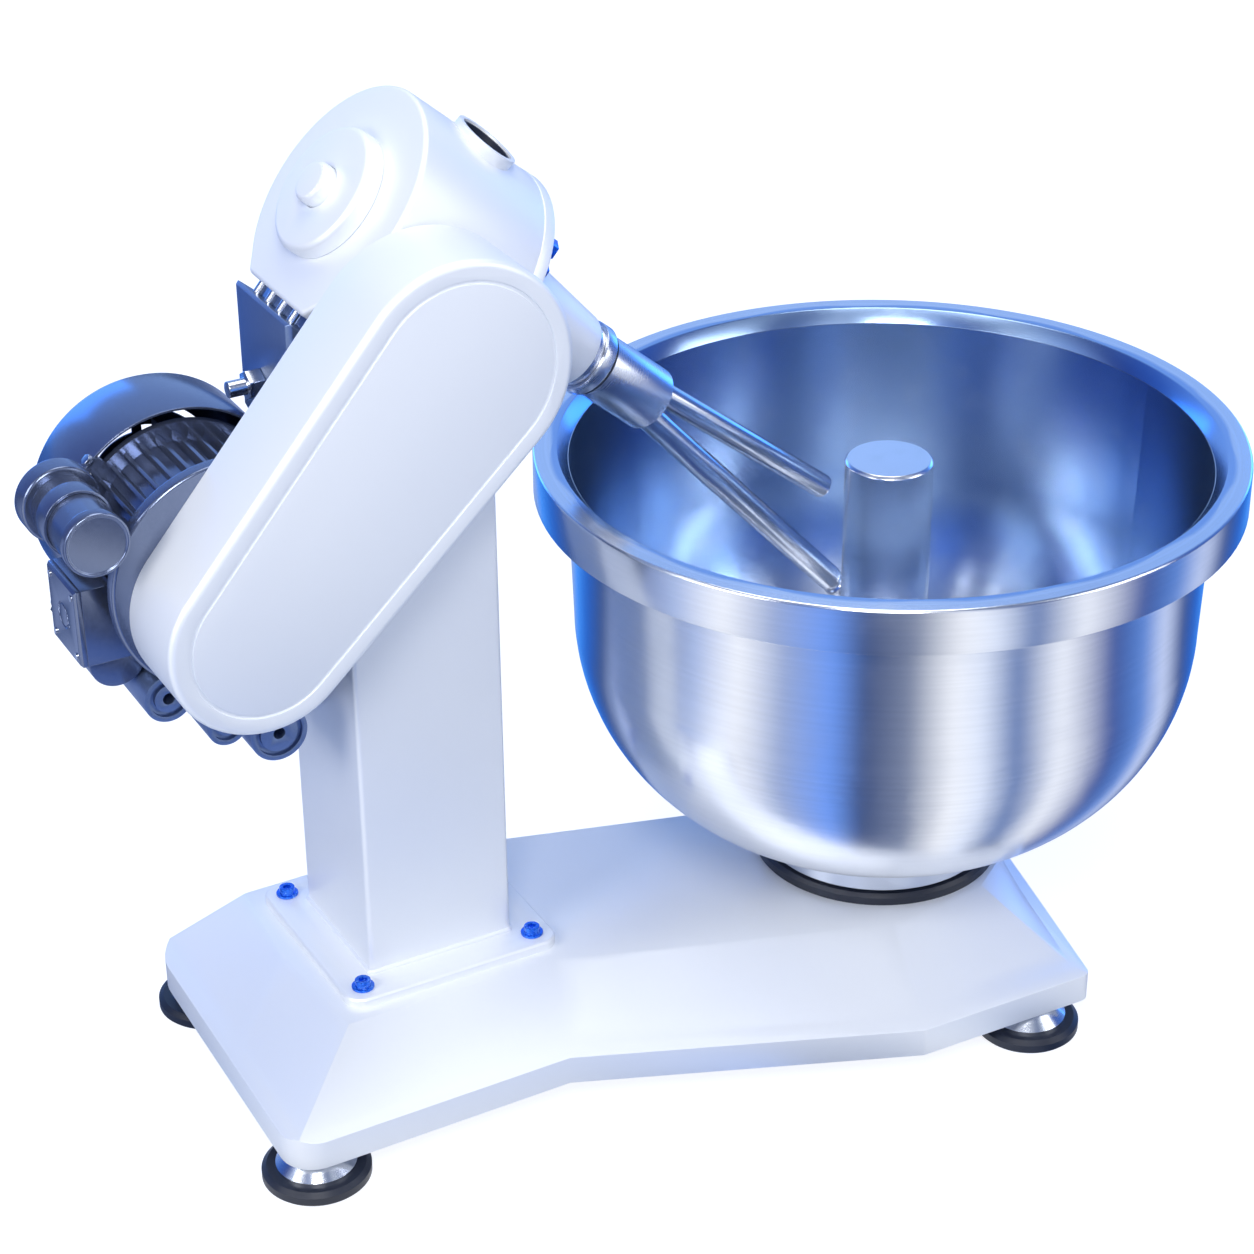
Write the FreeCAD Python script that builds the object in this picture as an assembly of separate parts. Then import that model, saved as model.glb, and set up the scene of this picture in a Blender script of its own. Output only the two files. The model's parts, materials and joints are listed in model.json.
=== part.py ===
import FreeCAD, Part
import math
import os

# Fork dough mixer: a bowl that turns freely on a long base, a column behind it,
# and a worm gearbox on the column that drives a slanting two-prong fork.
# Millimetres. X runs from the column to the bowl, Y away from the belt cover
# side, Z up. Everything is worked out about the bowl axis and moved along X on
# export, so that the origin lies under the middle of the machine.

V = FreeCAD.Vector
UP = V(0, 0, 1)
BACK = V(0, 1, 0)
LEFT = V(-1, 0, 0)

sheet_gap = 0.4
shaft_play = 0.05

# Base
base_top = 115.0
base_foot = 72.0
band_top = 66.0
band_bottom = 35.0
band_reach = 16.0
base_wall = 8.0
back_lug_corner = 60.0
front_lug_corner = 35.0
base_corner = 12.0
rib_thick = 8.0
rib_length = 400.0
foot_boss_radius = 26.0
block_front = -28.0
block_back = 237.0
block_left = -636.0

# Levelling feet
pad_radius = 54.0
pad_height = 15.0
cone_radius = 40.0
dome_top = band_bottom - 0.5
stud_radius = 9.0
stud_top = 68.0
foot_places = {
    "front_left": (-704.0, -89.0),
    "back_left": (-687.0, 228.0),
    "front_right": (41.0, -232.0),
    "back_right": (41.0, 160.0),
}

# Column
column_side = 158.0
column_wall = 8.0
column_x = -507.6
column_y = 105.0
column_top = 640.0
plate_side = 235.0
plate_thick = 10.0
plate_corner = 20.0
bolt_square = 190.0
bolt_radius = 6.0
bolt_hole = bolt_radius + 0.5
washer_radius = 11.5
plate_top = base_top + plate_thick
column_left = column_x - column_side / 2.0
column_right = column_x + column_side / 2.0
column_front = column_y - column_side / 2.0
column_back = column_y + column_side / 2.0

# Head: everything on the slanting tool axis, measured from the end cap
head_origin = V(-556.5, 129.0, 930.5)
head_tilt = 40.4
drum_radius = 117.0
drum_start = 32.0
drum_end = 186.0
drum_wall = 12.0
foot_depth = drum_radius - 12.0
foot_half = 60.0
foot_wall = 10.0
foot_corner = 10.0
drum_edge = 5.0
flange_step = 0.6
boss_radius = 64.0
boss_start = 12.0
cap_radius = 20.5
cap_fit = 0.5
filler_s = 118.0
filler_lean = 11.0
filler_radius = 33.0
filler_bore = 27.0
cap_start = -2.0
flange_end = 200.0
flange_bolt_circle = 98.0
flange_bolt_first = 45.0
flange_bolt_count = 6
level_plug_angle = 240.0
nose_base_radius = 59.0
nose_tip_radius = 38.0
nose_end = 350.0
seal_end = 360.0
collar_end = 374.0
sleeve_end = 462.0
sleeve_radius = 33.5
tool_shaft_radius = 20.0
tool_bearing_radius = 40.0
front_bearing_radius = 34.0

# Head mount: a cast block under the drum, with a raised land that the drum's foot
# sits on
block_depth = foot_depth + 12.0
block_half = 62.0
block_left_x = -614.0
block_right_x = -482.0
block_low = 694.0
land_start = 52.0
land_end = 152.0
land_half = 50.0
stud_sides = [-39.0, -13.0, 13.0, 39.0]
tension_y = 140.0
tension_z = 738.0

# Worm pair in the drum
gear_module = 4.5
wheel_teeth = 20
worm_pitch_radius = 18.0
wheel_pitch_radius = gear_module * wheel_teeth / 2.0
gear_clearance = 0.5
wheel_width = 30.0
worm_s = 114.4
worm_depth = wheel_pitch_radius + worm_pitch_radius
worm_shaft_radius = 12.0
worm_bearing_radius = 26.0
worm_boss_radius = 34.0
wheel_hub_radius = 32.0

# Fork prongs, in the head's own frame: (depth under the axis, side, along)
prong_radius = 14.0
short_prong_radius = 13.0
long_prong_root = (12.7, -8.0, 446.0)
long_prong_tip = (60.0, -2.0, 823.0)
short_prong_root = (-9.5, 9.0, 446.0)
short_prong_tip = (-21.0, 9.0, 727.0)

# Motor
cowl_radius = 116.0
cowl_gap = 2.4
motor_x = column_left - cowl_radius - cowl_gap
motor_z = 616.0
motor_flange_radius = 115.0
motor_flange_back = 32.0
motor_body_back = 136.0
fin_radius = 97.0
fin_depth = 11.0
fin_count = 36
body_wall = 6.0
rotor_radius = 49.3
rotor_gap = 0.7
shield_back = 144.0
cowl_sheet = 2.5
cowl_air_gap = 10.0
cowl_front = 138.0
cowl_back = 242.0
fan_front = 154.0
motor_shaft_radius = 12.0

# Capacitor and terminal box, placed from the motor's axis
capacitor_x = motor_x - 129.0
capacitor_z = motor_z + 74.0
capacitor_radius = 31.0
capacitor_front = -8.0
capacitor_back = 106.0
capacitor_lip = 6.5
clamp_y = 40.0
clamp_width = 22.0
box_left = motor_x - 135.0
box_right = motor_x - 85.0
box_front = 60.0
box_back = 134.0
box_low = motor_z - 82.0
box_high = motor_z - 4.0
box_wall = 5.0
lid_thick = 7.0
belly_radius = 27.0
gland_radius = 10.0

# Motor bracket: hinge tubes under the motor, each (x, z) from its axis and a radius
bracket_front = 40.0
bracket_length = 92.0
bracket_web = 22.0
hinge_bore = 6.0
hinge_tubes = [(-61.0, -125.0, 24.0), (-6.0, -171.0, 20.0), (45.0, -194.0, 29.0)]

# Belt cover, around the motor's pulley at its low end
cover_front = -87.0
cover_back = 11.0
cover_wall = 3.0
cover_low = V(motor_x - 10.0, 0, motor_z - 20.5)
cover_low_radius = 91.0
cover_high_radius = 108.5
cover_edge = 7.0
bead_inset = 21.5
bead_width = 3.5
bead_depth = 1.6
backplate_thick = 3.0
driven_pulley_radius = 76.8
drive_pulley_radius = 32.0
pulley_front = -72.0
pulley_back = -28.0
groove_depth = 10.0
belt_count = 2
belt_width = 8.6
belt_proud = 1.0
belt_inside = 7.0

# Bowl
rim_radius = 360.0
rim_top = 591.0
rim_bottom = 544.0
rim_flat = 24.0
rim_reach = 33.0
rim_inner_radius = rim_radius - rim_flat
bowl_wall_radius = rim_radius - rim_reach
bowl_sheet = 3.0
bowl_curve = 235.0
bowl_bottom = 167.0
post_radius = 45.0
post_top = 570.0
hub_radius = 125.0
hub_bottom = 128.0
seat_radius = 131.0
seat_top = 127.5
spindle_radius = 26.0
bearing_radius = 47.0
spindle_bottom = 52.0


def save(name, shape):
    """Write one piece, moved so that the origin lies under the machine."""
    left = capacitor_x - capacitor_radius - capacitor_lip
    moved = shape.copy()
    moved.translate(V(-(rim_radius + left) / 2.0, 0, 0))
    moved.exportStep("parts/" + name + ".step")


def face_of(points):
    """A flat face from its corner points."""
    return Part.Face(Part.makePolygon(points + [points[0]]))


def turned(profile, base=V(0, 0, 0), axis=UP):
    """A turned solid from (radius, height) corners about an axis."""
    face = face_of([V(r, 0, h) for r, h in profile])
    solid = face.revolve(V(0, 0, 0), UP, 360)
    solid.Placement = FreeCAD.Placement(base, FreeCAD.Rotation(UP, axis))
    return solid


def rod(radius, start, end):
    """A cylinder between two points."""
    return Part.makeCylinder(radius, (end - start).Length, start, end - start)


def ring(outer, inner, start, end):
    """A tube between two points."""
    return rod(outer, start, end).cut(rod(inner, start, end))


def hexagon(width, start, end):
    """A hexagonal bar between two points, width across its flats."""
    corner = width / math.sqrt(3.0)
    points = []
    for k in range(6):
        angle = math.radians(60 * k)
        points.append(V(corner * math.cos(angle), corner * math.sin(angle), 0))
    bar = face_of(points).extrude(UP * (end - start).Length)
    bar.Placement = FreeCAD.Placement(start, FreeCAD.Rotation(UP, end - start))
    return bar


def fused(shapes):
    """One solid from shapes that meet."""
    whole = shapes[0]
    for shape in shapes[1:]:
        whole = whole.fuse(shape)
    return whole.removeSplitter()


def to_head(shape):
    """Move a shape from the tool axis frame to its place.

    In that frame z runs down the tool, x is the depth under the axis and y is
    the same as the machine's.
    """
    moved = shape.copy()
    turn = FreeCAD.Rotation(BACK, 90.0 + head_tilt)
    moved.Placement = FreeCAD.Placement(head_origin, turn).multiply(moved.Placement)
    return moved


def head_point(depth, side, along):
    """The place of a point given in the tool axis frame."""
    turn = FreeCAD.Rotation(BACK, 90.0 + head_tilt)
    return FreeCAD.Placement(head_origin, turn).multVec(V(depth, side, along))


worm_axis = head_point(worm_depth, 0, worm_s)
cover_high = V(worm_axis.x, 0, worm_axis.z)


# Base: a long top plane, a wide slope at the front and left, and a low band.

def base_corners():
    """Corners of the top plane and of the slope's foot, with the band's radius there."""
    return [
        ((block_left, block_front), (-726, -112), front_lug_corner),
        ((-414, block_front), (-439, -110), base_corner),
        ((-74, -147), (-105, -247), base_corner),
        ((46, -134), (82, -250), base_corner),
        ((93, -101), (110, -135), base_corner),
        ((136, 0), (142, 0), base_corner),
        ((93, 101), (112, 135), base_corner),
        ((40, 134), (68, 188), base_corner),
        ((-130, 131), (-136, 160), base_corner),
        ((-496, block_back), (-500, 262), base_corner),
        ((block_left, block_back), (-717, 258), back_lug_corner),
        ((-648, 109), (-722, 51), base_corner),
    ]


def grown(corners, reach):
    """An outline moved outward by a distance, edge by edge."""
    moved = []
    count = len(corners)
    for k in range(count):
        before = V(*corners[k - 1], 0)
        here = V(*corners[k], 0)
        after = V(*corners[(k + 1) % count], 0)
        first = (here - before).normalize()
        second = (after - here).normalize()
        normal_a = V(first.y, -first.x, 0)
        normal_b = V(second.y, -second.x, 0)
        middle = (normal_a + normal_b).normalize()
        point = here + middle * (reach / middle.dot(normal_a))
        moved.append((point.x, point.y))
    return moved


def at_height(corners, z):
    """Outline corners as points at one height."""
    return [V(x, y, z) for x, y in corners]


def tapered(lower, z_low, upper, z_high):
    """A solid with straight sides between two matching outlines."""
    low = Part.makePolygon(at_height(lower, z_low) + at_height(lower[:1], z_low))
    high = Part.makePolygon(at_height(upper, z_high) + at_height(upper[:1], z_high))
    return Part.makeLoft([low, high], True, True)


def rounded_outline(corners, radii, z):
    """A closed outline whose corners are arcs, each with its own radius."""
    arcs = []
    count = len(corners)
    for k in range(count):
        here = V(*corners[k], z)
        before = (V(*corners[k - 1], z) - here).normalize()
        after = (V(*corners[(k + 1) % count], z) - here).normalize()
        half = before.getAngle(after) / 2.0
        inward = (before + after).normalize()
        start = here + before * (radii[k] / math.tan(half))
        end = here + after * (radii[k] / math.tan(half))
        middle = here + inward * (radii[k] / math.sin(half) - radii[k])
        arcs.append((start, middle, end))
    edges = []
    for k in range(count):
        start, middle, end = arcs[k]
        edges.append(Part.Arc(start, middle, end).toShape())
        edges.append(Part.makeLine(end, arcs[(k + 1) % count][0]))
    return Part.Wire(edges)


def rounded_prism(corners, radii):
    """An upright prism through the whole base with round corners."""
    outline = rounded_outline(corners, radii, band_bottom - 2)
    return Part.Face(outline).extrude(UP * (base_top - band_bottom + 4))


def base_body(inset):
    """The base's outer form, or its hollow when inset is more than zero."""
    top = grown([corner[0] for corner in base_corners()], -inset)
    foot = grown([corner[1] for corner in base_corners()], -inset)
    band = grown(foot, band_reach)
    lowest = band_bottom if inset == 0 else band_bottom - 1.0
    low_band = face_of(at_height(band, lowest)).extrude(UP * (band_top - lowest))
    bevel = tapered(band, band_top, foot, base_foot)
    slope = tapered(foot, base_foot, top, base_top - inset)
    whole = low_band.fuse(bevel).fuse(slope)
    radii = [max(corner[2] - inset, 2.0) for corner in base_corners()]
    return whole.common(rounded_prism(band, radii))


def base_shell():
    """A hollow base with foot bosses, a spindle housing and two cross ribs."""
    outer = base_body(0)
    hollow = base_body(base_wall)
    inside = []
    for x, y in foot_places.values():
        inside.append(rod(foot_boss_radius, V(x, y, band_bottom), V(x, y, base_top)))
    inside.append(rod(bearing_radius + 17, V(0, 0, band_bottom + 10), V(0, 0, base_top)))
    rib_z = band_bottom + 15
    for x in (column_left, column_right):
        corner = V(x - rib_thick / 2.0, -120, rib_z)
        inside.append(Part.makeBox(rib_thick, rib_length, base_top - rib_z, corner))
    whole = outer.cut(hollow)
    for piece in inside:
        whole = whole.fuse(piece.common(outer))
    for x, y in foot_places.values():
        whole = whole.cut(rod(stud_radius + shaft_play, V(x, y, 0), V(x, y, stud_top + 4)))
    seat = rod(bearing_radius, V(0, 0, 0), V(0, 0, base_top - 12))
    bore = rod(bearing_radius - 7, V(0, 0, 0), V(0, 0, base_top + 1))
    whole = whole.cut(seat).cut(bore)
    for x, y in column_bolt_places():
        whole = whole.cut(rod(bolt_hole, V(x, y, base_top - 20), V(x, y, base_top + 1)))
    return whole.removeSplitter()


# Levelling feet: a rubber pad under a bright dome with a threaded stud.

def foot_pad(x, y):
    """The rubber pad."""
    edge = pad_radius
    profile = [(0, 0), (edge - 3, 0), (edge, 3), (edge, pad_height - 4),
               (edge - 5, pad_height), (0, pad_height)]
    return turned(profile, V(x, y, 0))


def foot_dome(x, y):
    """The bright cone over the pad and the stud above it."""
    foot = cone_radius
    profile = [(0, pad_height), (foot, pad_height), (foot, pad_height + 3),
               (foot - 7, pad_height + 9), (foot - 19, dome_top), (stud_radius, dome_top),
               (stud_radius, stud_top - 1), (stud_radius - 1, stud_top), (0, stud_top)]
    return turned(profile, V(x, y, 0))


# Column

def column_bolt_places():
    """The four base bolts' places."""
    half = bolt_square / 2.0
    return [(column_x + i * half, column_y + j * half) for i in (-1, 1) for j in (-1, 1)]


def column_plate():
    """The plate under the column, with rounded corners and bolt holes."""
    half = plate_side / 2.0
    corner = V(column_x - half, column_y - half, base_top)
    plate = Part.makeBox(plate_side, plate_side, plate_thick, corner)
    upright = [e for e in plate.Edges if abs(e.tangentAt(e.FirstParameter).z) > 0.9]
    plate = plate.makeFillet(plate_corner, upright)
    rim = [e for e in plate.Edges if min(v.Z for v in e.Vertexes) > plate_top - 0.1]
    plate = plate.makeChamfer(2, rim)
    for x, y in column_bolt_places():
        plate = plate.cut(rod(bolt_hole, V(x, y, base_top - 1), V(x, y, plate_top + 1)))
    return plate


def square_bar(side, z_low, z_high):
    """A square bar on the column's centre."""
    corner = V(column_x - side / 2.0, column_y - side / 2.0, z_low)
    return Part.makeBox(side, side, z_high - z_low, corner)


def column_tube():
    """The square tube with small round edges and a closed top."""
    tube = square_bar(column_side, plate_top, column_top)
    upright = [e for e in tube.Edges if abs(e.tangentAt(e.FirstParameter).z) > 0.9]
    tube = tube.makeFillet(5, upright)
    inner = column_side - 2 * column_wall
    return tube.cut(square_bar(inner, plate_top - 1, column_top - column_wall))


def column_bolts():
    """Four washers, each under a socket cap screw."""
    bolts = []
    for x, y in column_bolt_places():
        washer = rod(washer_radius, V(x, y, plate_top), V(x, y, plate_top + 2.5))
        head = rod(8, V(x, y, plate_top + 2.5), V(x, y, plate_top + 9))
        shank = rod(bolt_radius, V(x, y, base_top - 16), V(x, y, plate_top))
        socket = hexagon(8, V(x, y, plate_top + 4.5), V(x, y, plate_top + 10))
        bolts.append(fused([washer, head, shank]).cut(socket))
    return Part.makeCompound(bolts)


# Head mount: a cast wedge between the column and the gearbox foot.

def mount_block():
    """The cast block, its top sloped like the gearbox foot, with a raised land."""
    front = head_origin.y - block_half
    slope_at_zero = head_point(block_depth, 0, 0)
    fall = math.tan(math.radians(head_tilt))
    top_left = slope_at_zero.z - (block_left_x - slope_at_zero.x) * fall
    top_right = slope_at_zero.z - (block_right_x - slope_at_zero.x) * fall
    inner = column_left + 2.0
    points = [V(block_left_x, front, top_left), V(block_right_x, front, top_right),
              V(block_right_x, front, column_top), V(inner, front, column_top),
              V(inner, front, block_low - 22), V(block_left_x, front, block_low)]
    block = face_of(points).extrude(BACK * (2 * block_half))
    left_edges = []
    for e in block.Edges:
        if all(abs(v.X - block_left_x) < 0.1 for v in e.Vertexes):
            left_edges.append(e)
    block = block.makeChamfer(5, left_edges)
    corner = V(foot_depth, -land_half, land_start)
    land = Part.makeBox(block_depth - foot_depth + 3, 2 * land_half, land_end - land_start, corner)
    return block.fuse(to_head(land)).removeSplitter()


def mount_studs():
    """Short studs in front of the land, between the block and the gearbox foot."""
    studs = []
    for side in stud_sides:
        start = head_point(block_depth, side, land_start - 10)
        end = head_point(foot_depth, side, land_start - 10)
        studs.append(rod(5, start, end))
    return Part.makeCompound(studs)


def tension_bolt():
    """The belt tension screw: a hexagon and rod on the block's left side."""
    start = V(block_left_x, tension_y, tension_z)
    head = hexagon(26, start, start + LEFT * 16)
    return fused([head, rod(8, start + LEFT * 16, start + LEFT * 34)])


# Gearbox

def drum_profile(radius, depth, half_foot):
    """A round drum outline with straight flanks down to a flat foot."""
    reach = math.hypot(depth, half_foot)
    swing = math.acos(radius / reach)
    bearing = math.atan2(half_foot, depth)
    angle = bearing + swing
    tangent = V(radius * math.cos(angle), radius * math.sin(angle), 0)
    mirror = V(tangent.x, -tangent.y, 0)
    arc = Part.Arc(tangent, V(-radius, 0, 0), mirror).toShape()
    foot_a = V(depth, half_foot, 0)
    foot_b = V(depth, -half_foot, 0)
    sides = [Part.makeLine(mirror, foot_b), Part.makeLine(foot_b, foot_a),
             Part.makeLine(foot_a, tangent)]
    return Part.Face(Part.Wire([arc] + sides))


def gearbox_housing():
    """The drum: open inside, with a flat foot and the worm's bearing bosses."""
    length = drum_end - drum_start
    body = drum_profile(drum_radius, foot_depth, foot_half).extrude(UP * length)
    body.translate(UP * drum_start)
    foot_edges = []
    for e in body.Edges:
        if all(abs(v.X - foot_depth) < 0.1 for v in e.Vertexes) and e.Length > length - 1:
            foot_edges.append(e)
    body = body.makeFillet(foot_corner, foot_edges)
    rear = [e for e in body.Edges if e.BoundBox.ZMax < drum_start + 0.1]
    body = body.makeFillet(drum_edge, rear)
    half = foot_half - foot_wall
    hollow = drum_profile(drum_radius - drum_wall, foot_depth - drum_wall, half)
    hollow = hollow.extrude(UP * (length - drum_wall))
    hollow.translate(UP * (drum_start + drum_wall))
    body = body.cut(hollow)
    worm_low = V(worm_depth, cover_back - head_origin.y, worm_s)
    worm_high = V(worm_depth, 108, worm_s)
    near_boss = rod(worm_boss_radius, worm_low, V(worm_depth, -66, worm_s))
    far_boss = rod(worm_boss_radius, V(worm_depth, 66, worm_s), worm_high)
    body = body.fuse(near_boss).fuse(far_boss)
    bearing_start = worm_low + V(0, 8, 0)
    body = body.cut(rod(worm_bearing_radius, bearing_start, V(worm_depth, 94, worm_s)))
    body = body.cut(rod(worm_shaft_radius + 2, worm_low - V(0, 1, 0), worm_high - V(0, 10, 0)))
    body = body.cut(rod(tool_bearing_radius, V(0, 0, drum_start - 1), V(0, 0, drum_start + 40)))
    start, end = filler_axis()
    body = body.cut(rod(filler_bore, start + (start - end) * 2, end))
    return to_head(body.removeSplitter())


def filler_axis():
    """Start and end of the oil filler neck, in the tool axis frame."""
    lean = math.radians(filler_lean)
    outward = V(-math.cos(lean), -math.sin(lean), 0)
    middle = V(0, 0, filler_s)
    return middle + outward * (drum_radius - 8), middle + outward * (drum_radius + 7)


def filler_collar():
    """The raised collar around the oil filler."""
    start, end = filler_axis()
    collar = ring(filler_radius, filler_bore + 1, start - (end - start) * 0.3, end)
    drum = Part.makeCylinder(drum_radius + 0.02, drum_end * 2)
    return to_head(collar.cut(drum))


def filler_plug():
    """The dark cup sunk in the filler, with a hexagon key hole in its floor."""
    start, end = filler_axis()
    inward = (start - end).normalize()
    rim = end + inward * 2
    floor = start + inward * 2
    plug = rod(filler_bore - 0.02, rim, start + inward * 14)
    plug = plug.cut(rod(filler_bore - 2.5, rim - inward, floor))
    return to_head(plug.cut(hexagon(14, floor - inward, floor + inward * 6)))


def bearing_cap():
    """The round boss that closes the rear bearing."""
    bore = cap_radius + cap_fit
    spigot = tool_bearing_radius - cap_fit
    profile = [(bore, boss_start), (boss_radius - 4, boss_start), (boss_radius, boss_start + 4),
               (boss_radius, drum_start), (spigot, drum_start), (spigot, drum_start + 6),
               (bore, drum_start + 6)]
    return to_head(turned(profile))


def shaft_end_cap():
    """The small cap in the middle of the boss."""
    profile = [(0, cap_start), (cap_radius - 3, cap_start), (cap_radius, cap_start + 3),
               (cap_radius, drum_start + 2), (0, drum_start + 2)]
    return to_head(turned(profile))


def front_flange():
    """The end flange of the drum, with a seat for the nose."""
    step = flange_step
    outer = drum_profile(drum_radius + step, foot_depth + step, foot_half + step)
    plate = outer.extrude(UP * (flange_end - drum_end))
    plate.translate(UP * drum_end)
    bore = Part.makeCylinder(tool_bearing_radius, 100, V(0, 0, drum_end - 10))
    return to_head(plate.cut(bore))


def flange_bolts():
    """Hexagon bolts around the flange, each on a washer, and the oil level plug."""
    bolts = []
    for k in range(flange_bolt_count):
        place = on_flange(flange_bolt_first + 360.0 * k / flange_bolt_count)
        washer = rod(washer_radius, place, place + UP * 3)
        head = hexagon(19, place + UP * 3, place + UP * 15)
        bolts.append(to_head(fused([washer, head])))
    place = on_flange(level_plug_angle)
    collar = rod(10, place, place + UP * 5)
    plug = hexagon(14, place + UP * 5, place + UP * 11)
    bolts.append(to_head(fused([collar, plug])))
    return Part.makeCompound(bolts)


def on_flange(angle):
    """A point of the bolt circle on the flange's face, in the tool axis frame."""
    a = math.radians(angle)
    return V(flange_bolt_circle * math.cos(a), flange_bolt_circle * math.sin(a), flange_end)


def nose_housing():
    """The white cone that carries the tool shaft's front bearing."""
    seat = front_bearing_radius
    profile = [(tool_bearing_radius, flange_end), (nose_base_radius + 9, flange_end),
               (nose_base_radius + 9, flange_end + 8), (nose_base_radius, flange_end + 12),
               (nose_tip_radius + 1, nose_end - 3), (nose_tip_radius, nose_end),
               (seat - 8, nose_end), (seat - 8, nose_end - 12), (seat, nose_end - 12),
               (seat, nose_end - 44), (seat - 4, nose_end - 50),
               (tool_bearing_radius, flange_end + 20)]
    return to_head(turned(profile))


def nose_seal():
    """The dark lip seal between the nose and the turning collar."""
    profile = [(tool_shaft_radius + sheet_gap, nose_end), (nose_tip_radius - 4, nose_end),
               (nose_tip_radius - 4, seal_end - 0.5), (tool_shaft_radius + sheet_gap, seal_end - 0.5)]
    return to_head(turned(profile))


def tool_bearings():
    """The two bearings of the tool shaft."""
    inner = tool_shaft_radius + shaft_play
    rear = ring(tool_bearing_radius, inner, V(0, 0, drum_start + 8), V(0, 0, drum_start + 30))
    front = ring(front_bearing_radius, inner, V(0, 0, nose_end - 40), V(0, 0, nose_end - 14))
    return Part.makeCompound([to_head(rear), to_head(front)])


def worm_bearings():
    """The two bearings of the worm shaft."""
    near = cover_back - head_origin.y + 9
    pieces = []
    for side in (near, 74.0):
        start = V(worm_depth, side, worm_s)
        inner = worm_shaft_radius + shaft_play
        pieces.append(to_head(ring(worm_bearing_radius, inner, start, start + V(0, 18, 0))))
    return Part.makeCompound(pieces)


# Fork and its shaft

def tool_shaft():
    """The slanting shaft through the drum and the nose."""
    profile = [(0, drum_start + 7), (tool_shaft_radius, drum_start + 7),
               (tool_shaft_radius, collar_end + 30), (0, collar_end + 30)]
    return to_head(turned(profile))


def gear_outline(teeth, pitch, addendum, dedendum):
    """A toothed outline of straight flanks about the origin."""
    points = []
    pitch_angle = 2 * math.pi / teeth
    for k in range(teeth):
        centre = (k + 0.5) * pitch_angle
        for share, radius in ((-0.30, pitch - dedendum), (-0.13, pitch + addendum),
                              (0.13, pitch + addendum), (0.30, pitch - dedendum)):
            angle = centre + share * pitch_angle
            points.append(V(radius * math.cos(angle), radius * math.sin(angle), 0))
    return face_of(points)


def worm_wheel():
    """The wheel on the tool shaft, its teeth hollowed for the worm."""
    add = gear_module * 0.8
    ded = gear_module * 1.1
    blank = gear_outline(wheel_teeth, wheel_pitch_radius, add, ded).extrude(UP * wheel_width)
    blank.translate(UP * (worm_s - wheel_width / 2.0))
    hub_start = V(0, 0, worm_s - wheel_width / 2.0 - 12)
    hub = Part.makeCylinder(wheel_hub_radius, wheel_width + 24, hub_start)
    bore = Part.makeCylinder(tool_shaft_radius, 200, V(0, 0, worm_s - 100))
    return to_head(blank.fuse(hub).cut(bore))


def fork_sleeve():
    """The bright sleeve with its recessed end, on the end of the shaft."""
    profile = [(tool_shaft_radius, collar_end), (sleeve_radius, collar_end),
               (sleeve_radius, sleeve_end - 2), (sleeve_radius - 2, sleeve_end),
               (sleeve_radius - 3, sleeve_end), (sleeve_radius - 3, sleeve_end - 3),
               (0, sleeve_end - 3), (0, collar_end + 30), (tool_shaft_radius, collar_end + 30)]
    body = turned(profile)
    for root, tip, radius in prongs():
        body = body.cut(rod(radius, V(*root), V(*root) + (V(*tip) - V(*root)) * 0.4))
    return to_head(body)


def sleeve_collar():
    """The slightly larger ring at the sleeve's start."""
    profile = [(tool_shaft_radius, seal_end), (nose_tip_radius, seal_end),
               (nose_tip_radius, collar_end - 1), (nose_tip_radius - 1, collar_end),
               (tool_shaft_radius, collar_end)]
    return to_head(turned(profile))


def prongs():
    """Root, tip and radius of both prongs."""
    return [(long_prong_root, long_prong_tip, prong_radius),
            (short_prong_root, short_prong_tip, short_prong_radius)]


def long_prong():
    """The long prong: a round bar with a neck and a short round tip."""
    root = V(*long_prong_root)
    run = V(*long_prong_tip) - root
    length = run.Length
    r = prong_radius
    profile = [(0, 0), (r, 0), (r, length - 26), (r - 3, length - 23), (r - 3, length - 19),
               (r, length - 16), (r, length - 5), (r - 5, length), (0, length)]
    return to_head(turned(profile, root, run))


def short_prong():
    """The short prong: a plain bar with a chamfered end."""
    root = V(*short_prong_root)
    run = V(*short_prong_tip) - root
    length = run.Length
    r = short_prong_radius
    profile = [(0, 0), (r, 0), (r, length - 2), (r - 2, length), (0, length)]
    return to_head(turned(profile, root, run))


# Worm and driven pulley

def at_worm(y):
    """A point on the worm shaft's axis."""
    return V(worm_axis.x, y, worm_axis.z)


def worm_shaft():
    """The worm: a shaft with a single helical thread over its middle."""
    lead = math.pi * gear_module
    root_radius = worm_pitch_radius - gear_module * 1.1 - gear_clearance
    tip_radius = worm_pitch_radius + gear_module * 0.8 - gear_clearance
    half = lead * (1 + (270.0 + head_tilt) / 360.0)
    middle = head_origin.y
    shaft = rod(worm_shaft_radius, at_worm(pulley_front - 6), at_worm(middle + 95))
    core = rod(root_radius, at_worm(middle - half - 8), at_worm(middle + half + 8))
    helix = Part.makeHelix(lead, 2 * half, worm_pitch_radius)
    wide = lead * 0.20
    narrow = lead * 0.11
    tooth = Part.makePolygon([V(root_radius - 1, 0, -wide), V(tip_radius, 0, -narrow),
                              V(tip_radius, 0, narrow), V(root_radius - 1, 0, wide),
                              V(root_radius - 1, 0, -wide)])
    thread = Part.Wire(helix.Edges).makePipeShell([tooth], True, True)
    thread.Placement = FreeCAD.Placement(at_worm(middle - half), FreeCAD.Rotation(UP, BACK))
    return shaft.fuse(core).fuse(thread)


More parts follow.
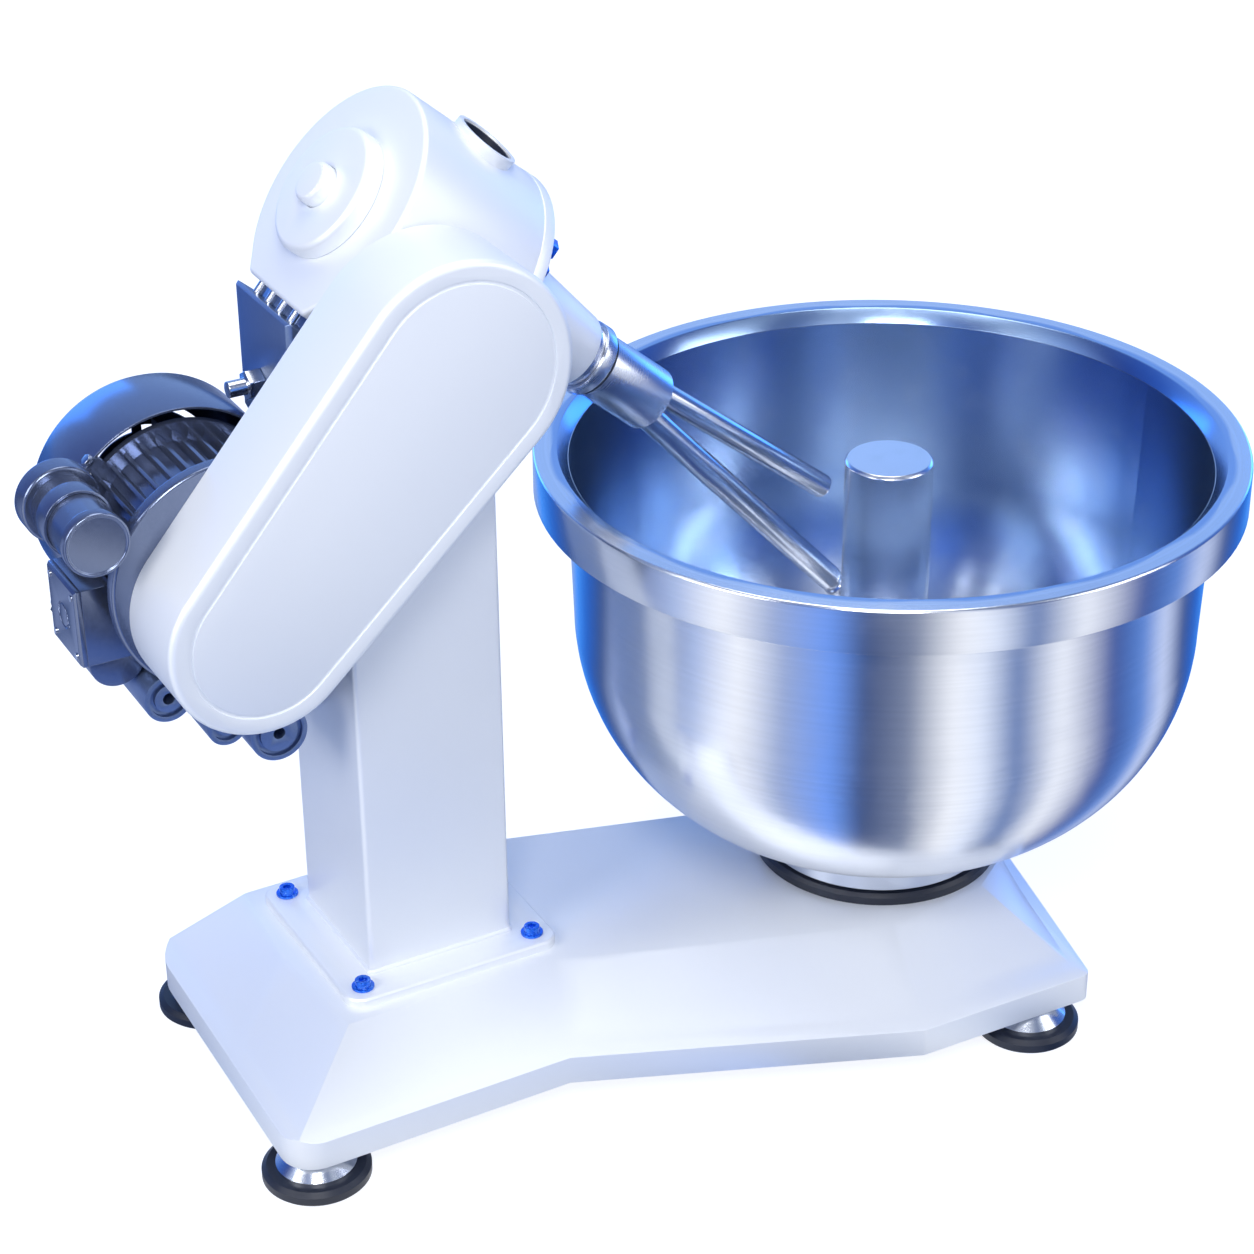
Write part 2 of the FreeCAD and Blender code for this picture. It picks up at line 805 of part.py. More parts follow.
def grooved(radius, start, end, bore):
    """A pulley with a groove for each belt, from one plane to another."""
    width = end - start
    pitch = width / belt_count
    profile = [(bore, 0), (radius, 0)]
    for k in range(belt_count):
        middle = (k + 0.5) * pitch
        profile += [(radius, middle - 7), (radius - groove_depth, middle - 4),
                    (radius - groove_depth, middle + 4), (radius, middle + 7)]
    profile += [(radius, width), (bore, width)]
    return profile


def pulley(x, z, radius, bore):
    """A belt pulley on an axis along Y."""
    profile = grooved(radius, pulley_front, pulley_back, bore)
    return turned(profile, V(x, pulley_front, z), BACK)


def driven_pulley():
    """The large pulley on the worm shaft, with a thin web."""
    wheel = pulley(worm_axis.x, worm_axis.z, driven_pulley_radius, worm_shaft_radius)
    recess = ring(58, 24, at_worm(pulley_front - 1), at_worm(pulley_front + 16))
    return wheel.cut(recess)


def v_belts():
    """Two belts around both pulleys, at rest."""
    pitch = (pulley_back - pulley_front) / belt_count
    belts = []
    for k in range(belt_count):
        y = pulley_front + (k + 0.5) * pitch
        outer = belt_loop(belt_proud, y - belt_width / 2.0, belt_width)
        inner = belt_loop(-belt_inside, y - belt_width, belt_width * 2)
        belts.append(outer.cut(inner))
    return Part.makeCompound(belts)


def belt_loop(offset, y, thick):
    """The area inside a belt, as a plate: offset is from the pulleys' rims."""
    big = (cover_high.x, cover_high.z, driven_pulley_radius + offset)
    small = (motor_x, motor_z, drive_pulley_radius + offset)
    return two_circle_plate(small, big, y, thick)


def two_circle_plate(low, high, y, thick):
    """A plate bounded by two circles (x, z, radius) and their outer tangents."""
    x1, z1, r1 = low
    x2, z2, r2 = high
    span = math.hypot(x2 - x1, z2 - z1)
    lean = math.atan2(z2 - z1, x2 - x1)
    side = math.acos((r1 - r2) / span)
    ends = []
    for turn in (1, -1):
        a = lean + turn * side
        ends.append((V(x1 + r1 * math.cos(a), y, z1 + r1 * math.sin(a)),
                     V(x2 + r2 * math.cos(a), y, z2 + r2 * math.sin(a))))
    far_low = V(x1 - r1 * math.cos(lean), y, z1 - r1 * math.sin(lean))
    far_high = V(x2 + r2 * math.cos(lean), y, z2 + r2 * math.sin(lean))
    edges = [Part.Arc(ends[0][0], far_low, ends[1][0]).toShape(),
             Part.makeLine(ends[1][0], ends[1][1]),
             Part.Arc(ends[1][1], far_high, ends[0][1]).toShape(),
             Part.makeLine(ends[0][1], ends[0][0])]
    return Part.Face(Part.Wire(edges)).extrude(BACK * thick)


# Belt cover

def cover_plate(inset, y, thick):
    """A plate of the cover's outline, smaller by an inset."""
    low = (cover_low.x, cover_low.z, cover_low_radius - inset)
    high = (cover_high.x, cover_high.z, cover_high_radius - inset)
    return two_circle_plate(low, high, y, thick)


def belt_cover():
    """The tapered cover: a deep tray with a rounded front edge and a bead line."""
    depth = cover_back - cover_front
    outer = cover_plate(0, cover_front, depth)
    front = [e for e in outer.Edges if all(v.Y < cover_front + 0.1 for v in e.Vertexes)]
    outer = outer.makeFillet(cover_edge, front)
    inner = cover_plate(cover_wall, cover_front + cover_wall, depth)
    bead = cover_plate(bead_inset - bead_width, cover_front - 1, 1 + bead_depth)
    bead = bead.cut(cover_plate(bead_inset, cover_front - 2, 4 + bead_depth))
    return outer.cut(inner).cut(bead)


def cover_backplate():
    """The plate that carries the cover and the motor flange."""
    plate = cover_plate(cover_wall + sheet_gap, cover_back - backplate_thick, backplate_thick)
    plate = plate.cut(rod(20, at_worm(0), at_worm(20)))
    plate = plate.cut(rod(30, V(motor_x, 0, motor_z), V(motor_x, 20, motor_z)))
    for x, z in ((-560, 690), (-560, 640)):
        spacer = rod(9, V(x, cover_back, z), V(x, column_front, z))
        plate = plate.fuse(spacer)
    return plate


# Motor, with its axis along Y behind the cover's lower end

def at_motor(y):
    """A point on the motor's axis."""
    return V(motor_x, y, motor_z)


def motor_flange():
    """The front shield with its bearing seat."""
    r = motor_flange_radius
    profile = [(30, 0), (r - 2, 0), (r, 2), (r, 14), (r - 5, 19), (92, 19), (86, 21), (30, 21)]
    body = turned(profile, at_motor(cover_back), BACK)
    return body


def motor_housing():
    """The finned body: one ribbed outline, drawn out along the axis."""
    points = []
    step = 2 * math.pi / fin_count
    root = fin_radius - fin_depth
    for k in range(fin_count):
        centre = k * step
        for share, radius in ((-0.5, root), (-0.16, root), (-0.11, fin_radius),
                              (0.11, fin_radius), (0.16, root)):
            a = centre + share * step
            points.append(V(motor_x + radius * math.cos(a), 0, motor_z + radius * math.sin(a)))
    ribs = face_of(points).extrude(BACK * (motor_body_back - motor_flange_back))
    ribs.translate(BACK * motor_flange_back)
    bore = rod(root - body_wall, at_motor(0), at_motor(300))
    return ribs.cut(bore)


def motor_stator():
    """The stator pack, pressed into the body."""
    outer = fin_radius - fin_depth - body_wall
    return ring(outer, rotor_radius + rotor_gap, at_motor(40), at_motor(128))


def rear_shield():
    """The rear shield, whose rim leaves an air gap, with four arms that hold the cowl."""
    thick = shield_back - motor_body_back
    inside_radius = cowl_radius - cowl_sheet
    disc_radius = inside_radius - cowl_air_gap
    body = rod(disc_radius, at_motor(motor_body_back), at_motor(shield_back))
    for k in range(4):
        arm = Part.makeBox(cowl_radius, thick, 16, V(0, 0, -8))
        arm.rotate(V(0, 0, 0), BACK, 45 + 90 * k)
        arm.translate(at_motor(motor_body_back))
        body = body.fuse(arm)
    inside = rod(inside_radius, at_motor(0), at_motor(300))
    body = body.common(inside)
    return body.cut(rod(motor_shaft_radius + shaft_play, at_motor(0), at_motor(300)))


def fan_cowl():
    """The fan cowl: a deep cup with a rounded end and an air grille."""
    r = cowl_radius
    t = cowl_sheet
    length = cowl_back - cowl_front
    profile = [(r - t, 0), (r, 0), (r, length - 16), (r - 5, length - 5), (r - 16, length),
               (0, length), (0, length - t), (r - 17, length - t), (r - 7, length - 7),
               (r - t, length - 17)]
    body = turned(profile, at_motor(cowl_front), BACK)
    for radius in (30.0, 52.0, 74.0):
        slot = ring(radius + 6, radius, at_motor(cowl_back - 10), at_motor(cowl_back + 5))
        for k in range(4):
            bar = Part.makeBox(200, 40, 10, V(0, -20, -5))
            bar.rotate(V(0, 0, 0), BACK, 90 * k)
            bar.translate(at_motor(cowl_back))
            slot = slot.cut(bar)
        body = body.cut(slot)
    return body


def cowl_screws():
    """The hexagon screws through the cowl into the shield's arms."""
    screws = []
    for k in range(4):
        a = math.radians(45 + 90 * k)
        out = V(math.cos(a), 0, math.sin(a))
        start = at_motor(motor_body_back + 4) + out * cowl_radius
        screws.append(hexagon(10, start, start + out * 5))
    return Part.makeCompound(screws)


def motor_shaft():
    """The rotor's shaft, from the drive pulley to the fan."""
    return rod(motor_shaft_radius, at_motor(pulley_front - 6), at_motor(fan_front + 54))


def rotor_core():
    """The rotor pack on the shaft."""
    return ring(rotor_radius, motor_shaft_radius, at_motor(42), at_motor(126))


def cooling_fan():
    """A fan with straight blades behind the shield."""
    hub = ring(30, motor_shaft_radius, at_motor(fan_front), at_motor(fan_front + 48))
    disc = ring(88, 28, at_motor(fan_front), at_motor(fan_front + 3))
    body = hub.fuse(disc)
    for k in range(8):
        blade = Part.makeBox(60, 34, 3, V(28, fan_front + 3, -1.5))
        blade.rotate(V(0, 0, 0), BACK, 45 * k)
        blade.translate(V(motor_x, 0, motor_z))
        body = body.fuse(blade)
    return body.removeSplitter()


def drive_pulley():
    """The small pulley on the motor shaft."""
    return pulley(motor_x, motor_z, drive_pulley_radius, motor_shaft_radius)


# Capacitor and terminal box on the motor's left side

def capacitor():
    """The capacitor can, its near end slightly sunk."""
    r = capacitor_radius
    length = capacitor_back - capacitor_front
    profile = [(0, 1.5), (r - 4, 1.5), (r - 3, 0), (r - 1, 0), (r, 2), (r, 12), (r - 1.5, 14),
               (r - 1.5, length - 24), (0, length - 24)]
    return turned(profile, V(capacitor_x, capacitor_front, capacitor_z), BACK)


def capacitor_cap():
    """The wider cap over the capacitor's leads."""
    r = capacitor_radius + capacitor_lip
    start = capacitor_back - capacitor_front - 24
    profile = [(0, start), (r - 2, start), (r, start + 2), (r, start + 22), (r - 5, start + 28),
               (0, start + 28)]
    return turned(profile, V(capacitor_x, capacitor_front, capacitor_z), BACK)


def capacitor_clamp():
    """The strap and saddle that hold the capacitor to the motor body."""
    middle = V(capacitor_x, clamp_y, capacitor_z)
    can_radius = capacitor_radius - 1.48
    strap = ring(capacitor_radius + 1.5, can_radius, middle, middle + BACK * clamp_width)
    toward = V(motor_x, clamp_y, motor_z) - middle
    saddle = Part.makeBox(clamp_width, clamp_width, toward.Length - fin_radius,
                          V(-clamp_width / 2.0, 0, 0))
    turn = FreeCAD.Rotation(BACK, math.degrees(math.atan2(toward.x, toward.z)))
    saddle.Placement = FreeCAD.Placement(middle, turn)
    can = rod(can_radius, middle - BACK * 5, middle + BACK * (clamp_width + 8))
    return strap.fuse(saddle).cut(can).cut(rod(fin_radius, at_motor(0), at_motor(200)))


def terminal_box():
    """The terminal box body, cut to sit against the motor body."""
    width = box_right - box_left - lid_thick
    depth = box_back - box_front
    height = box_high - box_low
    against_motor = rod(fin_radius + 0.02, at_motor(0), at_motor(300))
    body = Part.makeBox(width + 22, depth, height, V(box_left + lid_thick, box_front, box_low))
    hollow = Part.makeBox(22, depth - 2 * box_wall, height - 2 * box_wall,
                          V(box_left + lid_thick - 1, box_front + box_wall, box_low + box_wall))
    belly_start = V(box_right - 13, box_front + 6, box_low - 4)
    belly = rod(belly_radius, belly_start, belly_start + BACK * (depth - 12))
    body = body.cut(hollow).fuse(belly).cut(against_motor)
    gland = gland_start()
    return body.cut(rod(gland_radius - 1, gland - BACK * 10, gland + BACK * 10))


def terminal_lid():
    """The lid on the left face, with a round knock-out."""
    corner = V(box_left, box_front, box_low)
    lid = Part.makeBox(lid_thick, box_back - box_front, box_high - box_low, corner)
    outer = [e for e in lid.Edges if all(abs(v.X - box_left) < 0.1 for v in e.Vertexes)]
    lid = lid.makeChamfer(2.5, outer)
    middle_y = (box_front + box_back) / 2.0
    middle_z = (box_low + box_high) / 2.0
    mark = ring(13, 11, V(box_left - 1, middle_y, middle_z), V(box_left + 1, middle_y, middle_z))
    return lid.cut(mark)


def gland_start():
    """Where the cable inlet leaves the box."""
    return V(box_left + 17, box_back, box_low + 22)


def cable_gland():
    """The cable inlet at the box's rear."""
    start = gland_start()
    nut = hexagon(26, start, start + BACK * 9)
    neck = rod(gland_radius, start + BACK * 9, start + BACK * 22)
    tail = rod(gland_radius - 1.02, start - BACK * 5, start)
    return fused([nut, neck, tail]).cut(rod(5, start - BACK * 6, start + BACK * 30))


# Motor bracket: hinge tubes along the motor, on a web from the column

def motor_bracket():
    """Three hinge tubes under the motor, joined by a web at their far end."""
    far = bracket_front + bracket_length
    near_web = far - bracket_web
    low = motor_z - 205.0
    web = [V(column_left, near_web, low - 13), V(column_left, near_web, low + 75),
           V(motor_x + 55, near_web, motor_z - 76), V(motor_x - 40, near_web, motor_z - 76),
           V(motor_x - 81, near_web, motor_z - 128), V(motor_x - 3, near_web, low + 9)]
    body = face_of(web).extrude(BACK * bracket_web)
    places = []
    for x, z, radius in hinge_tubes:
        places.append((V(motor_x + x, bracket_front, motor_z + z), radius))
    for start, radius in places:
        body = body.fuse(rod(radius, start, start + BACK * bracket_length))
    body = body.cut(rod(fin_radius + 0.02, at_motor(0), at_motor(300)))
    for start, radius in places:
        body = body.cut(ring(radius - 5, radius - 10, start - BACK, start + BACK * 5))
        body = body.cut(rod(hinge_bore, start - BACK, start + BACK * 30))
    return body.removeSplitter()


# Bowl

def bowl_section(inset):
    """Corner data of the bowl's wall: foot, tangent points and top."""
    wall = bowl_wall_radius - inset
    lower = wall - 6.0
    curve = bowl_curve - inset
    floor = bowl_bottom + inset
    centre = V(lower - curve, 0, floor + curve)
    middle = centre + V(curve * math.sin(math.radians(45)), 0, -curve * math.cos(math.radians(45)))
    return wall, lower, centre, middle, floor


def bowl_shell():
    """The deep bowl, turned from one sheet thickness."""
    top = rim_top - 14.0
    w0, l0, c0, m0, f0 = bowl_section(0)
    w1, l1, c1, m1, f1 = bowl_section(bowl_sheet)
    outside = [Part.makeLine(V(0, 0, f0), V(c0.x, 0, f0)),
               Part.Arc(V(c0.x, 0, f0), m0, V(l0, 0, c0.z)).toShape(),
               Part.makeLine(V(l0, 0, c0.z), V(w0, 0, top)),
               Part.makeLine(V(w0, 0, top), V(w1, 0, top)),
               Part.makeLine(V(w1, 0, top), V(l1, 0, c1.z)),
               Part.Arc(V(l1, 0, c1.z), m1, V(c1.x, 0, f1)).toShape(),
               Part.makeLine(V(c1.x, 0, f1), V(0, 0, f1)),
               Part.makeLine(V(0, 0, f1), V(0, 0, f0))]
    return Part.Face(Part.Wire(outside)).revolve(V(0, 0, 0), UP, 360)


def bowl_rim():
    """The rolled rim: a flat top, a deep outer band and a turned-in lower lip."""
    wall = bowl_wall_radius
    low = rim_top - 14.0
    profile = [(wall - bowl_sheet, low), (rim_inner_radius, rim_top), (rim_radius - 2, rim_top),
               (rim_radius, rim_top - 2), (rim_radius, rim_bottom), (wall + 3, rim_bottom),
               (wall + 3, rim_bottom + 3), (rim_radius - 3, rim_bottom + 3),
               (rim_radius - 3, rim_top - 3), (rim_inner_radius + 1, rim_top - 3),
               (wall, low)]
    return turned(profile)


def bowl_post():
    """The round post on the bowl's floor."""
    floor = bowl_bottom + bowl_sheet
    profile = [(0, floor), (post_radius, floor), (post_radius, post_top - 3),
               (post_radius - 3, post_top), (0, post_top)]
    return turned(profile)


def bowl_spindle():
    """The bright hub ring under the bowl and the spindle in the base."""
    profile = [(0, bowl_bottom), (hub_radius - 2, bowl_bottom), (hub_radius, bowl_bottom - 2),
               (hub_radius, hub_bottom + 2), (hub_radius - 2, hub_bottom),
               (spindle_radius, hub_bottom), (spindle_radius, spindle_bottom),
               (0, spindle_bottom)]
    return turned(profile)


def bowl_seat():
    """The black ring on the base, just clear of the hub."""
    profile = [(60, base_top), (seat_radius, base_top), (seat_radius, seat_top - 4),
               (seat_radius - 3, seat_top), (60, seat_top)]
    return turned(profile)


def spindle_bearings():
    """Two bearings of the bowl spindle in the base."""
    inner = spindle_radius + shaft_play
    low = ring(bearing_radius, inner, V(0, 0, 58), V(0, 0, 76))
    high = ring(bearing_radius, inner, V(0, 0, base_top - 30), V(0, 0, base_top - 12))
    return Part.makeCompound([low, high])


os.makedirs("parts", exist_ok=True)

save("base_shell", base_shell())
save("spindle_bearings", spindle_bearings())
save("bowl_seat", bowl_seat())
save("column_plate", column_plate())
save("column_tube", column_tube())
save("column_bolts", column_bolts())
save("mount_block", mount_block())
save("mount_studs", mount_studs())
save("tension_bolt", tension_bolt())

save("gearbox_housing", gearbox_housing())
save("filler_collar", filler_collar())
save("filler_plug", filler_plug())
save("bearing_cap", bearing_cap())
save("shaft_end_cap", shaft_end_cap())
save("front_flange", front_flange())
save("flange_bolts", flange_bolts())
save("nose_housing", nose_housing())
save("nose_seal", nose_seal())
save("tool_bearings", tool_bearings())
save("worm_bearings", worm_bearings())

save("tool_shaft", tool_shaft())
save("worm_wheel", worm_wheel())
save("fork_sleeve", fork_sleeve())
save("sleeve_collar", sleeve_collar())
save("long_prong", long_prong())
save("short_prong", short_prong())

save("worm_shaft", worm_shaft())
save("driven_pulley", driven_pulley())
save("v_belts", v_belts())
save("belt_cover", belt_cover())
save("cover_backplate", cover_backplate())

save("motor_flange", motor_flange())
save("motor_housing", motor_housing())
save("motor_stator", motor_stator())
save("rear_shield", rear_shield())
save("fan_cowl", fan_cowl())
save("cowl_screws", cowl_screws())
save("motor_shaft", motor_shaft())
save("rotor_core", rotor_core())
save("cooling_fan", cooling_fan())
save("drive_pulley", drive_pulley())
save("capacitor", capacitor())
save("capacitor_cap", capacitor_cap())
save("capacitor_clamp", capacitor_clamp())
save("terminal_box", terminal_box())
save("terminal_lid", terminal_lid())
save("cable_gland", cable_gland())
save("motor_bracket", motor_bracket())

save("bowl_shell", bowl_shell())
save("bowl_rim", bowl_rim())
save("bowl_post", bowl_post())
save("bowl_spindle", bowl_spindle())

for place, (x, y) in foot_places.items():
    save("foot_pad_" + place, foot_pad(x, y))
    save("foot_dome_" + place, foot_dome(x, y))
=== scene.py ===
import json
import math

import bmesh
import bpy
from mathutils import Matrix, Vector

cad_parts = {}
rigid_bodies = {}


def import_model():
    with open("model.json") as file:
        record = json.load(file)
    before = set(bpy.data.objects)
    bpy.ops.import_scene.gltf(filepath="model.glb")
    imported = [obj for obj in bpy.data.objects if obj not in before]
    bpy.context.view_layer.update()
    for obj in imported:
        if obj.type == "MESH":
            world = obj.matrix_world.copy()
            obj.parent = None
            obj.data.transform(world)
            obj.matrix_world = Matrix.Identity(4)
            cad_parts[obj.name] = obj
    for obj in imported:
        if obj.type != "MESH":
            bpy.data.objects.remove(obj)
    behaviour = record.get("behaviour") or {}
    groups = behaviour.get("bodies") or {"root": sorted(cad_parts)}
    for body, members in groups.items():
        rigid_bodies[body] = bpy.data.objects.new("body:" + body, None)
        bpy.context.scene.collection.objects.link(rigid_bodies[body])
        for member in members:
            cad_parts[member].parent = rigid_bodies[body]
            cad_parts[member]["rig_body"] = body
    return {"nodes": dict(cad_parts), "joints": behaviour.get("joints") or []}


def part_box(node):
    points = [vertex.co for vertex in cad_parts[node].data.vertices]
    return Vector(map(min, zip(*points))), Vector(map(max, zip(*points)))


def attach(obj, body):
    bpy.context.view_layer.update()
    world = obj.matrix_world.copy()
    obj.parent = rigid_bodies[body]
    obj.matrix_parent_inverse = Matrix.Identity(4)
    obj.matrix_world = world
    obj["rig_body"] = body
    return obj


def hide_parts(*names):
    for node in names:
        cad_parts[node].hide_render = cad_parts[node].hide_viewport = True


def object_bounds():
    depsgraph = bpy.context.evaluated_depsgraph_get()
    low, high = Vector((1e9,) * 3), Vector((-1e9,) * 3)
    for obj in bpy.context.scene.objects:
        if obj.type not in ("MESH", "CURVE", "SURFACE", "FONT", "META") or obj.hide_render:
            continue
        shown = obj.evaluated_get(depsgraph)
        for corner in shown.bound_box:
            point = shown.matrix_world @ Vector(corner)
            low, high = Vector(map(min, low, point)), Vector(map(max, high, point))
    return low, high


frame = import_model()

cad_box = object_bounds()
nodes = frame["nodes"]

# View. The mixer is seen from the front left and above, on a long lens. The lens
# is placed from the middle of the bowl's rim, in rim radii to the right, up and
# back along the line of sight.
rim_low, rim_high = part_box("bowl_rim")
rim_radius = (rim_high.x - rim_low.x) / 2
rim_middle = Vector(((rim_low.x + rim_high.x) / 2, (rim_low.y + rim_high.y) / 2, rim_high.z))
azimuth = math.radians(-28.6813)
elevation = math.radians(29.0989)
roll = math.radians(-0.5302)
lens_place = Vector((-0.7352, -0.5249, 8.5288))
focal_pixels = 3051.93
photo_pixels = 1254

back = Vector((math.sin(azimuth) * math.cos(elevation),
               -math.cos(azimuth) * math.cos(elevation), math.sin(elevation)))
level = Vector((math.cos(azimuth), math.sin(azimuth), 0))
raised = back.cross(level)
right = level * math.cos(roll) + raised * math.sin(roll)
up = raised * math.cos(roll) - level * math.sin(roll)
sight = Matrix((right, up, back)).transposed()
lens = bpy.data.cameras.new("photo_view")
lens.sensor_width = 36
lens.lens = lens.sensor_width * focal_pixels / photo_pixels
lens.clip_end = 50
camera = bpy.data.objects.new("photo_view", lens)
place = rim_middle + sight @ lens_place * rim_radius
camera.matrix_world = Matrix.Translation(place) @ sight.to_4x4()
bpy.context.scene.collection.objects.link(camera)
bpy.context.scene.camera = camera
bpy.context.scene.view_settings.view_transform = "Standard"


# Light. Soft white lamps and a pale room give the paint a plain, slightly cool
# light. Steel mirrors upright panels that stand round the bowl, bright and dark by
# turns, with blue ones behind the machine that draw the outlines of its pieces.
class Field:
    """A value or colour over a surface, held by one socket. Sums and products add Math nodes."""

    def __init__(self, tree, socket=None):
        self.tree = tree
        self.socket = socket

    def node(self, kind, settings, inputs, output=0):
        """Add a node of a kind: its settings first, then values or links for its sockets."""
        made = self.tree.nodes.new("ShaderNode" + kind)
        for name, value in settings.items():
            if name == "stops":
                set_stops(made.color_ramp, value)
            else:
                setattr(made, name, value)
        for name, value in inputs.items():
            if isinstance(value, Field):
                self.tree.links.new(value.socket, made.inputs[name])
            else:
                made.inputs[name].default_value = value
        return Field(self.tree, made.outputs[output] if made.outputs else None)

    def maths(self, operation, *values):
        return self.node("Math", {"operation": operation}, dict(enumerate(values)))

    def __add__(self, other):
        return self.maths("ADD", self, other)

    def __sub__(self, other):
        return self.maths("SUBTRACT", self, other)

    def __rsub__(self, other):
        return self.maths("SUBTRACT", other, self)

    def __mul__(self, other):
        return self.maths("MULTIPLY", self, other)

    def __truediv__(self, other):
        return self.maths("DIVIDE", self, other)

    def __pow__(self, other):
        return self.maths("POWER", self, other)

    __radd__ = __add__

    def smooth(self, low, high):
        """0 below low, 1 above high and smooth between them."""
        ends = {"Value": self, "From Min": low, "From Max": high}
        return self.node("MapRange", {"interpolation_type": "SMOOTHSTEP"}, ends)


def set_stops(ramp, stops):
    """Give a colour ramp its stops, as pairs of place and colour."""
    while len(ramp.elements) < len(stops):
        ramp.elements.new(1)
    for element, (at, colour) in zip(ramp.elements, stops):
        element.position = at
        element.color = (*colour, 1)


bowl_middle = Vector((rim_middle.x, rim_middle.y, 0))
panel_gain = 1.25
low_panels = [
    (-180, (0.34, 0.42, 0.64)), (-166, (0.06, 0.30, 0.95)), (-150, (0.02, 0.12, 0.55)),
    (-134, (0.04, 0.08, 0.22)), (-118, (0.42, 0.52, 0.82)), (-102, (0.04, 0.08, 0.26)),
    (-78, (0.40, 0.50, 0.78)), (-60, (0.95, 0.96, 1.00)), (-42, (0.32, 0.40, 0.64)),
    (-24, (0.16, 0.34, 0.92)), (-12, (0.04, 0.07, 0.19)), (4, (0.18, 0.22, 0.34)),
    (20, (0.95, 0.96, 1.00)), (30, (0.80, 0.86, 1.00)), (44, (0.08, 0.16, 0.40)),
    (62, (0.92, 0.94, 1.00)), (86, (0.04, 0.08, 0.30)), (104, (0.10, 0.24, 0.66)),
    (118, (0.60, 0.68, 0.92)), (134, (0.04, 0.08, 0.24)), (150, (0.02, 0.12, 0.55)),
    (166, (0.06, 0.30, 0.95)), (180, (0.34, 0.42, 0.64))]
high_panels = [
    (-180, (0.30, 0.48, 0.90)), (-150, (0.24, 0.42, 0.86)), (-118, (0.04, 0.12, 0.46)),
    (-96, (0.03, 0.06, 0.24)), (-76, (0.42, 0.52, 0.80)), (-60, (0.85, 0.90, 1.00)),
    (-42, (0.10, 0.14, 0.30)), (-24, (0.10, 0.22, 0.60)), (-12, (0.03, 0.05, 0.14)),
    (4, (0.10, 0.13, 0.24)), (20, (0.85, 0.88, 1.00)), (32, (0.20, 0.26, 0.45)),
    (44, (0.04, 0.08, 0.24)), (62, (0.85, 0.90, 1.00)), (86, (0.03, 0.07, 0.25)),
    (112, (0.04, 0.12, 0.46)), (150, (0.24, 0.42, 0.86)), (180, (0.30, 0.48, 0.90))]


def panels_seen(field, spot, panels, spread):
    """The panels' colour at a place seen from the bowl's axis. Zero is towards the lens."""
    across = field.node("SeparateXYZ", {}, {0: spot}, 0)
    along = field.node("SeparateXYZ", {}, {0: spot}, 1)
    bearing = across.maths("ARCTAN2", across, along * -1) - azimuth
    turned = bearing / (2 * math.pi * spread) + 0.5
    share = turned.maths("WRAP", turned, 1.0, 0.0)
    stops = [(0.5 + angle / 360, colour) for angle, colour in panels]
    ramp = field.node("ValToRGB", {"stops": stops}, {0: share})
    return field.node("VectorMath", {"operation": "SCALE"}, {0: ramp, "Scale": panel_gain})


room = bpy.data.worlds.new("studio")
room.use_nodes = True
room.node_tree.nodes.clear()
bpy.context.scene.world = room
sky = Field(room.node_tree)
direction = sky.node("TexCoord", {}, {})
panels = panels_seen(sky, direction, high_panels, 1)
overhead = sky.node("SeparateXYZ", {}, {0: direction}, 2).smooth(0.55, 0.95)
mirrored = sky.node("MixRGB", {}, {0: overhead * 0.8, 1: panels, 2: (0.14, 0.19, 0.32, 1)})
to_eye = sky.node("LightPath", {}, {}, "Is Camera Ray")
to_steel = sky.node("LightPath", {}, {}, "Is Glossy Ray")
ambient = sky.node("MixRGB", {}, {0: to_steel, 1: (0.20, 0.24, 0.33, 1), 2: mirrored})
shown = sky.node("MixRGB", {}, {0: to_eye, 1: ambient, 2: (1, 1, 1, 1)})
backdrop = sky.node("Background", {}, {"Color": shown})
sky.node("OutputWorld", {}, {"Surface": backdrop})


def lamp(name, at, power, size, tint):
    """A soft square lamp that faces the middle of the machine."""
    light = bpy.data.lights.new(name, "AREA")
    light.energy = power
    light.size = size
    light.color = tint
    holder = bpy.data.objects.new(name, light)
    aim = Vector((0, 0, 0.5)) - Vector(at)
    holder.location = at
    holder.rotation_euler = aim.to_track_quat("-Z", "Y").to_euler()
    bpy.context.scene.collection.objects.link(holder)


lamp("key", (-1.5, -2.5, 3.0), 74, 1.2, (1.0, 1.0, 1.0))
lamp("fill", (2.4, -2.4, 2.2), 30, 1.8, (0.95, 0.97, 1.0))
lamp("left", (-3.0, -0.5, 1.9), 38, 1.4, (1.0, 1.0, 1.0))
lamp("top", (0.2, 0.3, 3.2), 26, 1.6, (1.0, 1.0, 1.0))
lamp("blue_left", (-0.4, 3.0, 0.9), 12, 1.2, (0.04, 0.28, 1.0))
lamp("blue_right", (2.9, 0.9, 0.9), 14, 1.2, (0.04, 0.28, 1.0))


# Floor. A plain pale floor, wide enough for every view. The eye sees it nearly
# white, and it keeps the mixer's shadow.
def start(name):
    """An empty material's node tree, as a field to build on."""
    material = bpy.data.materials.new(name)
    material.use_nodes = True
    material.node_tree.nodes.clear()
    return Field(material.node_tree)


